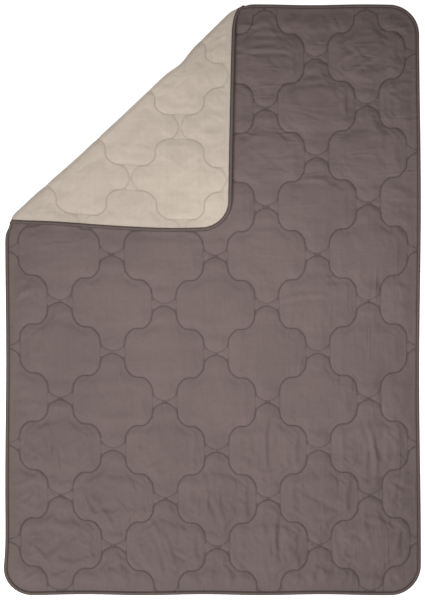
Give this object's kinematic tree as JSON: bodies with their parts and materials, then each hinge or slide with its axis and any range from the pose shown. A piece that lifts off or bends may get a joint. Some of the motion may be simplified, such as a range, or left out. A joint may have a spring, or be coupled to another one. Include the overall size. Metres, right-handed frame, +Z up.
{
  "type": "camp quilt",
  "caption": "Flat synthetic-filled camp quilt with lantern-shaped quilting, bound edges and rounded corners, one corner turned back over the top to show the pale lining.",
  "frame": {"origin": "centre of the flat quilt's rectangle, on the surface that it lies on", "axes": "+Y along the length, towards the end with the turned corner; +X across the width, to the right seen from above, so the turned corner is at -X; +Z up"},
  "size_m": [1.4, 2, 0.0243],
  "materials": {
    "cover": "taupe brushed microfibre, matte",
    "lining": "pale beige brushed microfibre, matte",
    "wadding": "off-white polyester wadding",
    "binding": "dark taupe folded tape, matte",
    "thread": "dark taupe polyester thread",
    "lining_thread": "beige polyester thread"
  },
  "bodies": {
    "quilt_body": {"binding_seam_lower": "thread", "binding_seam_upper": "thread", "edge_binding": "binding", "fold_batt": "wadding", "fold_binding_side": "binding", "fold_binding_top": "binding", "fold_cover": "cover", "fold_lining": "lining", "insulation_batt": "wadding", "lining": "lining", "stitch_column_01": "thread", "stitch_column_02": "thread", "stitch_column_03": "thread", "stitch_column_04": "thread", "stitch_column_05": "thread", "stitch_column_06": "thread", "stitch_column_07": "thread", "stitch_column_08": "thread", "stitch_row_01": "thread", "stitch_row_02": "thread", "stitch_row_03": "thread", "stitch_row_04": "thread", "stitch_row_05": "thread", "stitch_row_06": "thread", "stitch_row_07": "thread", "stitch_row_08": "thread", "stitch_row_09": "thread", "stitch_row_10": "thread", "stitch_row_11": "thread", "stitch_row_12": "thread", "stitch_row_12_part2": "thread", "stitch_row_12_part3": "thread", "top_cover": "cover"},
    "turned_corner": {"corner_batt": "wadding", "corner_binding": "binding", "corner_cover": "cover", "corner_lining": "lining", "corner_seam_inner": "thread", "corner_seam_outer": "thread", "corner_stitch_column_01": "lining_thread", "corner_stitch_column_02": "lining_thread", "corner_stitch_column_03": "lining_thread", "corner_stitch_column_04": "lining_thread", "corner_stitch_row_01": "lining_thread", "corner_stitch_row_02": "lining_thread", "corner_stitch_row_03": "lining_thread", "corner_stitch_row_04": "lining_thread"}
  },
  "joints": [
    {"name": "turned_corner_fold", "type": "hinge", "parent": "quilt_body", "child": "turned_corner", "pos_m": [0.08888, 1, 0.01215], "axis": [-0.7193, -0.6947, 0], "range_deg": [0, 179.5], "deforming": ["fold_batt", "fold_binding_side", "fold_binding_top", "fold_cover", "fold_lining"]}
  ]
}
